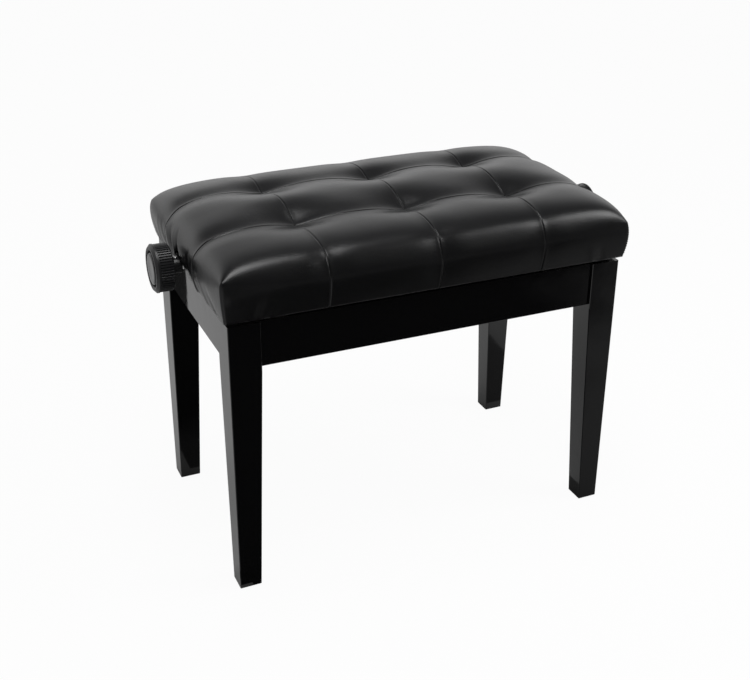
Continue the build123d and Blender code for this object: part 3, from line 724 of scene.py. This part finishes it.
def front_fall(x, y):
    """The sitter's side is pressed down a little: 0 behind the middle, growing forward."""
    share = min(1.0, max(0.0, (FALL_START - y) / FALL_RUN))
    leftward = min(1.0, max(0.0, -x / FALL_SPREAD))
    return (FRONT_FALL + MORE_AT_LEFT * leftward) * MM * share * share * (3 - 2 * share)


# %% Height of the seat
LEFT_SINK = 4 * MM  # how much lower the crown is at its left end
VALLEY_DEPTH, VALLEY_WIDTH = 4 * MM, 17 * MM
DIP_DEPTH, DIP_X, DIP_WIDTH = 2 * MM, -100 * MM, 90 * MM  # a hollow in the rear edge
TUFT_LENGTH, TUFT_WIDTH = 33 * MM, 22 * MM


def seat_height(x, y, edge):
    """A flat-topped dome, with a shallow valley along each long seam and a pit at each tuft."""
    top = SEAT_Z - LEFT_SINK * (0.5 - 0.5 * x / EDGE_X) - front_fall(x, y)
    from_ends = dome(x / EDGE_X, 6.5 + 4 * max(0.0, -y / EDGE_Y))
    from_sides = dome(y / EDGE_Y, 6.8 if y < 0 else 3.6)
    z = edge + (top - edge) * from_ends * from_sides
    z -= VALLEY_DEPTH * max(bell(y - b, VALLEY_WIDTH) for b in SEAMS_ALONG)
    z -= pull(x, y)[0] * abs(y / EDGE_Y) ** 2
    z -= DIP_DEPTH * max(0.0, y / EDGE_Y) ** 4 * bell(x - DIP_X, DIP_WIDTH)
    for a, b in TUFTS:
        spread = ((x - a) / TUFT_LENGTH) ** 2 + ((y - b) / TUFT_WIDTH) ** 2
        z += (TUFT_Z - front_fall(a, b) - z) * math.exp(-spread**0.75)
    return max(z, edge)


# %% Shape the skin over the seat and its skirts
# Sewing is never quite straight: near the place (x, y) the skin is off by (dx, dy), in mm.
STRAYS = [
    ((-144, -61), (-2, 8)),
    ((0, -61), (0, 3)),
    ((-144, 61), (-6, -2)),
    ((-144, 163), (-9, 0)),
    ((0, 61), (0, -3)),
    ((0, 163), (-6, 0)),
]
STRAY_REACH = 55 * MM
SKIRT_BULGE, HEM_INSET, CORNER_HOLLOW = 7 * MM, 3 * MM, 1.5 * MM


def stray(x, y):
    """How far a place on the seat is off, in x and in y."""
    dx = dy = 0.0
    for (a, b), (off_x, off_y) in STRAYS:
        near = math.exp(-((x - a * MM) ** 2 + (y - b * MM) ** 2) / STRAY_REACH**2)
        dx, dy = dx + off_x * MM * near, dy + off_y * MM * near
    return dx, dy


def slack_point(u, v):
    """Where a place on the pattern lies before the foam pushes it out."""
    x = max(-EDGE_X, min(EDGE_X, u))
    y = max(-EDGE_Y, min(EDGE_Y, v))
    hang = max(abs(u) - EDGE_X, abs(v) - EDGE_Y, 0) / DROP
    side_x, side_y = (1 if x > 0 else -1), (1 if y > 0 else -1)
    sink, top_in, hem_in = CORNERS[(side_x, side_y)]
    near = abs(x / EDGE_X * y / EDGE_Y) ** 7
    edge = EDGE_Z - sink * near
    swell = math.sin(math.pi * hang**0.6)
    pushed = near * (top_in * (1 - hang) ** 2 + hem_in * hang**2 - CORNER_HOLLOW * swell)
    x -= side_x * pushed
    y -= side_y * (pushed + pull(x, y)[1] * abs(y / EDGE_Y) ** 5 * (1 - hang) ** 1.5)
    off_x, off_y = stray(x, y)
    if hang == 0:
        return Vector((x + off_x, y + off_y, seat_height(x, y, edge)))
    bow = SKIRT_BULGE * swell - HEM_INSET * hang
    if abs(v) > EDGE_Y:
        y += side_y * bow * (1 - (x / EDGE_X) ** 4)
    else:
        x += side_x * bow * (1 - (y / EDGE_Y) ** 4)
    x += off_x * (1 - hang)
    return Vector((x, y, edge + (HEM_Z - edge) * hang))


def sewn(i, j):
    """The two flaps share one row of points at each corner: the side flap's are renamed."""
    if i < first_x and j in (first_y, last_y):
        step = first_x - i
        return (first_x, first_y - step) if j == first_y else (first_x, last_y + step)
    if i > last_x and j in (first_y, last_y):
        step = i - last_x
        return (last_x, first_y - step) if j == first_y else (last_x, last_y + step)
    return (i, j)


def make_cover():
    """The cover as a mesh of pattern squares, with u and v kept at each corner of each."""
    cover = bmesh.new()
    pattern = cover.loops.layers.uv.new("pattern")
    points = {}

    def point(i, j):
        key = sewn(i, j)
        if key not in points:
            points[key] = cover.verts.new(slack_point(across[key[0]], along[key[1]]))
        return points[key]

    for i in range(len(across) - 1):
        for j in range(len(along) - 1):
            if not (first_x <= i < last_x or first_y <= j < last_y):
                continue
            ring = [(i, j), (i + 1, j), (i + 1, j + 1), (i, j + 1)]
            face = cover.faces.new([point(*at) for at in ring])
            face.smooth = True
            for loop, (a, b) in zip(face.loops, ring):
                loop[pattern].uv = (across[a], along[b])
    return cover


cover = to_object(make_cover(), "seat_cover")
print("slack cover of", len(cover.data.vertices), "points")

# %% [markdown]
# ## The seat cover: blown up over its foam
#
# Foam pushes the skin out wherever no thread holds it. That push is simulated: the cover
# becomes cloth, the hem and the tufts are pinned, the seams and corners are half held, and
# pressure fills it. Inflating by formula would be quicker, but it wouldn't spread the
# tension between the tufts as a real skin does.


# %% Blow up the cover
def read(mesh, what="co"):
    """Every point's place, or its normal, one in each row."""
    flat = np.empty(len(mesh.vertices) * 3)
    mesh.vertices.foreach_get(what, flat)
    return flat.reshape(-1, 3)


def move_to(mesh, places):
    mesh.vertices.foreach_set("co", places.ravel())
    mesh.update()


def pattern_places(mesh):
    """For each point, its u and v on the pattern."""
    corners = np.empty(len(mesh.loops) * 2)
    mesh.uv_layers["pattern"].uv.foreach_get("vector", corners)
    owners = np.empty(len(mesh.loops), dtype=int)
    mesh.loops.foreach_get("vertex_index", owners)
    places = np.zeros((len(mesh.vertices), 2))
    places[owners] = corners.reshape(-1, 2)
    return places


TUFT_REACH, CORNER_REACH, SEAM_REACH = 3.5 * MM, 9 * MM, 1 * MM
CORNER_HOLD, LONG_SEAM_HOLD, CROSS_SEAM_HOLD = 0.75, 0.15, 0.5


def hold(piece):
    """How firmly each point is held: 1 at hem and tufts, less along corners and seams."""
    group = piece.vertex_groups.new(name="held")
    places = pattern_places(piece.data)
    for vertex in piece.data.vertices:
        x, y, z = vertex.co
        u, v = places[vertex.index]
        near_tuft = min(math.hypot(u - a, v - b) for a, b in TUFTS)
        corner = EDGE_X - abs(x) < CORNER_REACH and EDGE_Y - abs(y) < CORNER_REACH
        if z < HEM_Z + 0.5 * MM or near_tuft < TUFT_REACH:
            firmness = 1.0
        elif corner and z < EDGE_Z + 1 * MM:
            firmness = CORNER_HOLD
        elif min(abs(v - b) for b in SEAMS_ALONG) < SEAM_REACH:
            firmness = LONG_SEAM_HOLD
        elif min(abs(u - a) for a in SEAMS_ACROSS) < SEAM_REACH and abs(v) > EDGE_Y / 2:
            firmness = CROSS_SEAM_HOLD
        else:
            continue
        group.add([vertex.index], firmness, "REPLACE")


CLOTH_STEPS = 24


def blow_up(piece, pressure, farthest):
    """Fills the cloth with pressure, and keeps each point within reach of its start."""
    hold(piece)
    start = read(piece.data)
    cloth = piece.modifiers.new("foam", "CLOTH")
    skin = cloth.settings
    skin.quality, skin.mass, skin.air_damping = 7, 0.25, 2.0
    skin.tension_stiffness = skin.compression_stiffness = 18
    skin.shear_stiffness, skin.bending_stiffness = 8, 4.0
    skin.use_pressure, skin.uniform_pressure_force = True, pressure
    skin.vertex_group_mass, skin.pin_stiffness = "held", 1.0
    skin.effector_weights.gravity = 0
    cloth.point_cache.frame_end = CLOTH_STEPS
    scene = bpy.context.scene
    for moment in range(1, CLOTH_STEPS + 1):
        scene.frame_set(moment)
    view = bpy.context.evaluated_depsgraph_get()
    blown = read(piece.evaluated_get(view).to_mesh())
    piece.modifiers.remove(cloth)
    scene.frame_set(1)
    moved = blown - start
    far = np.linalg.norm(moved, axis=1, keepdims=True)
    limit = farthest * np.tanh(far / farthest)
    move_to(piece.data, start + moved * limit / (far + 1e-9))
    return float(far.max())


def iron(piece, passes):
    """Smooths wrinkles: each free point moves half way to the mean of its neighbours."""
    places = read(piece.data)
    ends = np.empty(len(piece.data.edges) * 2, dtype=int)
    piece.data.edges.foreach_get("vertices", ends)
    one, other = ends.reshape(-1, 2).T
    count = np.bincount(one, minlength=len(places)) + np.bincount(other, minlength=len(places))
    held = np.zeros(len(places))
    for vertex in piece.data.vertices:
        held[vertex.index] = max([g.weight for g in vertex.groups], default=0.0)
    free = 0.5 * (1 - held)[:, None]
    for _ in range(passes):
        total = np.zeros_like(places)
        np.add.at(total, one, places[other])
        np.add.at(total, other, places[one])
        places += free * (total / count[:, None] - places)
    move_to(piece.data, places)


farthest = blow_up(cover, pressure=4.0, farthest=8 * MM)
iron(cover, 4)
print("the skin moved up to", round(farthest / MM, 1), "mm")

# %% [markdown]
# ## The seat cover: seams
#
# A sewn seam is a sharp crease about a millimetre wide, with a soft lip on each side where
# the allowance lies doubled underneath. A crease could be painted with bump, but then it
# would vanish from the mesh and from its outline. Instead one subdivision makes the whole
# skin finer, and only the faces beside a seam are cut into narrow strips, so that the
# crease can be pressed in for real.


# %% Make the skin finer
def refine(piece):
    """Subdivides the skin once, and keeps its pattern."""
    smoother = piece.modifiers.new("finer", "SUBSURF")
    smoother.levels = 1
    view = bpy.context.evaluated_depsgraph_get()
    rough = piece.data
    piece.data = bpy.data.meshes.new_from_object(
        piece.evaluated_get(view), preserve_all_data_layers=True, depsgraph=view
    )
    piece.modifiers.clear()
    bpy.data.meshes.remove(rough)


refine(cover)
print("skin of", len(cover.data.polygons), "faces")


# %% Find the seams on the pattern
def from_seams(u, v):
    """How far a place on the pattern is from the nearest seam of each of the three kinds."""
    x_past, y_past = abs(u) - EDGE_X, abs(v) - EDGE_Y
    if y_past > 0:
        corner = -x_past
    elif x_past > 0:
        corner = -y_past
    else:
        corner = math.hypot(x_past, y_past)
    return (
        min(abs(u - a) for a in SEAMS_ACROSS),
        min(abs(v - b) for b in SEAMS_ALONG),
        abs(corner),
    )


ON_SEAM = 0.4 * MM


def cut_strips(shape, cuts):
    """Cuts the faces that touch a seam into strips that run along it."""
    pattern = shape.loops.layers.uv.active
    on_seam = {}
    for vertex in shape.verts:
        u, v = vertex.link_loops[0][pattern].uv
        on_seam[vertex] = {kind for kind, gap in enumerate(from_seams(u, v)) if gap < ON_SEAM}
    beside = [e for e in shape.edges if on_seam[e.verts[0]] ^ on_seam[e.verts[1]]]
    bmesh.ops.subdivide_edges(shape, edges=beside, cuts=cuts, use_grid_fill=True)


shape = bmesh.new()
shape.from_mesh(cover.data)
cut_strips(shape, 3)
shape.to_mesh(cover.data)
shape.free()
print("skin of", len(cover.data.polygons), "faces with its strips")


# %% Press the seams in
SEAM_SHAPES = ((0.9, 0.15), (1.1, 0.22), (0.8, 0.35))  # crease and lip in mm, by kind
CREASE_WIDTH, LIP_WIDTH, LIP_PLACE = 0.62, 1.1, 1.9  # in mm
PRESS_REACH = 6 * MM


def seam_profile(gap, crease, lip):
    """Height over the skin in mm, so many mm from the seam."""
    return lip * bell(gap - LIP_PLACE, LIP_WIDTH) - crease * bell(gap, CREASE_WIDTH)


def raise_skin(mesh, rise):
    """Moves each point outward, square to the skin."""
    move_to(mesh, read(mesh) + read(mesh, "normal") * rise[:, None])


def press_seams(piece):
    mesh = piece.data
    rise = np.zeros(len(mesh.vertices))
    for i, (u, v) in enumerate(pattern_places(mesh)):
        for gap, sizes in zip(from_seams(u, v), SEAM_SHAPES):
            if gap < PRESS_REACH:
                rise[i] += seam_profile(gap / MM, *sizes) * MM
    raise_skin(mesh, rise)


press_seams(cover)
print("5 seams and 4 corners pressed in")

# %% [markdown]
# ## The seat cover: folds
#
# The skirts are pulled down by hand and stapled, so they pucker where there is too much
# skin: in front of and above each shaft notch, and beside the corners. A simulation would
# place such folds at random. Here each one is drawn as a line on the flat pattern, with a
# width and a height, and the skin rises or dips along it.

# %% Draw the folds
# Each fold runs from (u, v) to (u, v), and has a width and a height, all in mm.
FOLDS = [
    ((-324, -50), (-283, -38), 3.6, -2.6),
    ((-325, -60), (-286, -50), 4.5, 2.3),
    ((-325, -84), (-290, -66), 4.8, -2.3),
    ((-325, -100), (-292, -84), 6.0, 1.9),
    ((-325, -128), (-300, -112), 6.5, -1.7),
    ((-312, -7), (-277, 16), 3.0, -3.4),
    ((-308, 8), (-279, 30), 4.0, 2.5),
    ((-310, 17), (-279, 44), 3.2, -3.1),
    ((-316, 30), (-281, 58), 4.6, 2.2),
    ((-325, 60), (-284, 80), 5.0, -2.3),
    ((-325, 92), (-288, 104), 6.5, 1.7),
    ((-325, 126), (-296, 128), 6.0, -1.6),
    ((324, -46), (286, -36), 4.0, -2.5),
    ((325, -62), (288, -52), 5.0, 2.0),
    ((325, -92), (292, -78), 6.0, -1.9),
    ((312, 6), (278, 24), 3.5, -2.9),
    ((316, 24), (282, 44), 4.6, 2.0),
    ((325, 66), (286, 82), 5.5, -2.0),
    ((325, 112), (294, 118), 6.5, 1.6),
    ((-240, -213), (-234, -190), 4.0, -0.9),
    ((-226, -213), (-219, -184), 4.5, 1.0),
    ((-214, -213), (-206, -188), 4.0, -0.8),
    ((-262, -186), (-196, -177), 6.0, 0.8),
    ((-196, -177), (-110, -176), 7.5, 0.5),
    ((236, -213), (229, -192), 5.0, -0.8),
    ((221, -213), (214, -190), 5.0, 0.7),
    ((-236, 213), (-228, 188), 5.0, -0.9),
    ((-218, 213), (-212, 190), 5.0, 0.8),
    ((-70, 213), (-64, 196), 6.0, -0.7),
    ((92, 213), (96, 194), 6.0, -0.7),
    ((230, 213), (222, 186), 5.0, -1.0),
    ((214, 213), (208, 190), 5.5, 0.8),
]


FOLD_FADING = 0.75  # how much of its height a fold has lost at its end
RIPPLE = 0.45 * MM  # slow unevenness of the hanging skirts
RIPPLES_A_METRE = np.array((26, 26, 14))


def fold_rise(places):
    """How far each place on the pattern rises along the drawn folds."""
    rise = np.zeros(len(places))
    for start, end, width, height in FOLDS:
        start, end = np.array(start) * MM, np.array(end) * MM
        run = end - start
        share = np.clip((places - start) @ run / (run @ run), 0, 1)
        gap = np.linalg.norm(places - start - share[:, None] * run, axis=1)
        fading = 1 - FOLD_FADING * share**2
        rise += height * MM * fading * np.exp(-((gap / (width * MM)) ** 2))
    return rise


def draw_folds(piece):
    """Folds and ripples, which end at the stapled hem."""
    mesh = piece.data
    rise = fold_rise(pattern_places(mesh))
    for i, place in enumerate(read(mesh)):
        z = place[2]
        hang = min(1.0, max(0.0, (EDGE_Z + 4 * MM - z) / DROP))
        rise[i] += RIPPLE * hang * noise.noise(Vector(place * RIPPLES_A_METRE))
        rise[i] *= min(1.0, max(0.0, (z - HEM_Z) / (2 * MM)))
    raise_skin(mesh, rise)


draw_folds(cover)
print(len(FOLDS), "folds drawn")

# %% [markdown]
# ## Stitches
#
# Where a seam is pulled open, its thread shows at the bottom of the crease as a row of
# short dashes. Each stitch is a small bent capsule of mesh that follows the skin, because
# one repeated straight shape would leave the crease wherever it turns.

# %% Follow the seams
STITCH, STITCH_GAP, THREAD = 2.3 * MM, 0.9 * MM, 0.27 * MM
SINK, ARCH, SEAM_MARGIN = 0.2 * MM, 0.45 * MM, 1.5 * MM
STATIONS, SIDES = 5, 6  # along each stitch and round it


def seam_lines(mesh):
    """For each seam, its points and the directions out of the skin, in order."""
    u, v = pattern_places(mesh).T
    at, out = read(mesh), read(mesh, "normal")
    close = 0.15 * MM
    chosen = [(np.abs(u - a) < close, v) for a in SEAMS_ACROSS]
    chosen += [(np.abs(v - b) < close, u) for b in SEAMS_ALONG]
    hang = np.maximum(np.abs(u) - EDGE_X, np.abs(v) - EDGE_Y)
    corner = (hang > 1 * MM) & (np.minimum(np.abs(u) - EDGE_X, np.abs(v) - EDGE_Y) > -close)
    for sx in (-1, 1):
        for sy in (-1, 1):
            chosen.append((corner & (at[:, 0] * sx > 0) & (at[:, 1] * sy > 0), -at[:, 2]))
    for mask, rank in chosen:
        order = np.flatnonzero(mask)[np.argsort(rank[mask])]
        yield at[order], out[order]


def stitch_rows(points, facing):
    """For each station along each stitch: where its middle is, and which way is out."""
    steps = np.linalg.norm(np.diff(points, axis=0), axis=1)
    run = np.concatenate([[0], np.cumsum(steps)])
    starts = np.arange(SEAM_MARGIN, run[-1] - STITCH - SEAM_MARGIN, STITCH + STITCH_GAP)
    share = np.linspace(0, 1, STATIONS)
    stations = (starts[:, None] + STITCH * share).ravel()
    middle = np.stack([np.interp(stations, run, c) for c in points.T], axis=1)
    out = np.stack([np.interp(stations, run, c) for c in facing.T], axis=1)
    out /= np.linalg.norm(out, axis=1, keepdims=True)
    lift = np.tile(-SINK + ARCH * np.sin(np.pi * share), len(starts))
    middle += out * lift[:, None]
    return middle.reshape(-1, STATIONS, 3), out.reshape(-1, STATIONS, 3)


# %% Make the stitches
SLIMMER_END = 0.55


def make_stitches(mesh):
    """Every stitch as a closed tube, its rings round the stations."""
    last = STATIONS - 1
    spots, faces = [], []
    for points, facing in seam_lines(mesh):
        for middle, out in zip(*stitch_rows(points, facing)):
            ahead = np.gradient(middle, axis=0)
            side = np.cross(ahead, out)
            side /= np.linalg.norm(side, axis=1, keepdims=True)
            first = len(spots)
            for ring in range(STATIONS):
                girth = THREAD * (SLIMMER_END if ring in (0, last) else 1.0)
                for k in range(SIDES):
                    turn = 2 * math.pi * k / SIDES
                    spoke = math.cos(turn) * side[ring] + math.sin(turn) * out[ring]
                    spots.append(middle[ring] + girth * spoke)
            for start in range(first, first + last * SIDES, SIDES):
                for k in range(SIDES):
                    a, b = start + k, start + (k + 1) % SIDES
                    faces.append((a, b, b + SIDES, a + SIDES))
            faces.append(tuple(first + k for k in reversed(range(SIDES))))
            faces.append(tuple(first + last * SIDES + k for k in range(SIDES)))
    mesh = bpy.data.meshes.new("seam_stitches")
    mesh.from_pydata([tuple(p) for p in spots], [], faces)
    for face in mesh.polygons:
        face.use_smooth = len(face.vertices) == 4
    return put("seam_stitches", mesh)


stitches = make_stitches(cover.data)
print(len(stitches.data.polygons) // ((STATIONS - 1) * SIDES + 2), "stitches")

# %% [markdown]
# ## The seat cover: notches, hem and inside
#
# The shaft of the knobs passes under the skirt at both ends, through an arched notch. The
# hem turns in under the board of the skirt, where it is stapled. Inside, the cover ends on
# the firm foam. A Solidify modifier could give it thickness, but not this inside, so the
# open edge is drawn in step by step: round the hem, under the board, back out, up its face.

# %% Cut the notches
NOTCH_Z = 389.5 * MM
NEAR_END = EDGE_X - 20 * MM


def in_notch(place):
    """Whether a place lies in the slot below the shaft's axis, or in the arch over it."""
    if abs(place.x) < NEAR_END or abs(place.y) > NOTCH:
        return False
    return place.z < NOTCH_Z or math.hypot(place.y, place.z - NOTCH_Z) < NOTCH


def cut_notches(shape):
    """Takes the faces in the notches away, and draws what is left to a smooth outline."""
    inside = [face for face in shape.faces if in_notch(face.calc_center_median())]
    bmesh.ops.delete(shape, geom=inside, context="FACES")
    for vertex in {v for e in shape.edges if e.is_boundary for v in e.verts}:
        x, y, z = vertex.co
        if abs(x) < NEAR_END or abs(y) > NOTCH + 3 * MM or z < HEM_Z + 1 * MM:
            continue
        if z > NOTCH_Z:
            stretch = NOTCH / math.hypot(y, z - NOTCH_Z)
            vertex.co = (x, y * stretch, NOTCH_Z + (z - NOTCH_Z) * stretch)
        else:
            vertex.co = (x, math.copysign(NOTCH, y), z)
    return len(inside)


shape = bmesh.new()
shape.from_mesh(cover.data)
print(cut_notches(shape), "faces cut out for the shaft")

# %% Turn the hem in and close the inside
BOARD_X, BOARD_Y = 259.4 * MM, 151.4 * MM
FOAM_TOP_Z = 428.4 * MM
HEM_HEIGHT, TUCK = 2.5 * MM, 10 * MM
SHRINK_X, SHRINK_Y, SKIN = 0.0045, 0.008, 1.2 * MM  # how far the turned hem lies inside


def draw_edge(shape, target):
    """Extrudes the open edge of the shape, and moves each new point where target says."""
    edges = [e for e in shape.edges if e.is_boundary]
    made = bmesh.ops.extrude_edge_only(shape, edges=edges)["geom"]
    for point in (g for g in made if isinstance(g, bmesh.types.BMVert)):
        point.co = target(point.co)


def at_hem(co):
    return co.z < HEM_Z + HEM_HEIGHT


def kept_within(co, x, y, z):
    return Vector((max(-x, min(x, co.x)), max(-y, min(y, co.y)), z))


def round_hem(co):
    if at_hem(co):
        return Vector((co.x * (1 - SHRINK_X), co.y * (1 - SHRINK_Y), HEM_Z - 0.5 * MM))
    return Vector((co.x - math.copysign(SKIN, co.x), co.y, co.z))


def under_board(co):
    if at_hem(co):
        return kept_within(co, BOARD_X - TUCK, BOARD_Y - TUCK, HEM_Z - 0.2 * MM)
    return kept_within(co, BOARD_X, BOARD_Y, co.z)


def back_out(co):
    if not at_hem(co):
        return co
    tucked = TUCK + 0.5 * MM
    x = co.x if abs(co.x) < BOARD_X - tucked else math.copysign(BOARD_X, co.x)
    y = co.y if abs(co.y) < BOARD_Y - tucked else math.copysign(BOARD_Y, co.y)
    return Vector((x, y, HEM_Z + 1 * MM))


for target in (round_hem, under_board, back_out):
    draw_edge(shape, target)
draw_edge(shape, lambda co: kept_within(co, BOARD_X, BOARD_Y, FOAM_TOP_Z))
bmesh.ops.edgeloop_fill(shape, edges=[e for e in shape.edges if e.is_boundary])
bmesh.ops.remove_doubles(shape, verts=shape.verts, dist=0.05 * MM)
bmesh.ops.recalc_face_normals(shape, faces=shape.faces)
for face in shape.faces:
    face.smooth = True
open_edges = sum(not e.is_manifold for e in shape.edges)
shape.to_mesh(cover.data)
shape.free()
print("closed cover of", len(cover.data.polygons), "faces,", open_edges, "open edges")

# %% [markdown]
# ## Close
#
# The seat cover takes the place of the CAD cushion, and rides with the seat.

# %% Place the seat cover
cover.data.materials.clear()
cover.data.materials.append(finishes["leatherette"])
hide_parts("seat_cushion")
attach(cover, "seat")

stitches.data.materials.append(finishes["thread"])
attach(stitches, "seat")
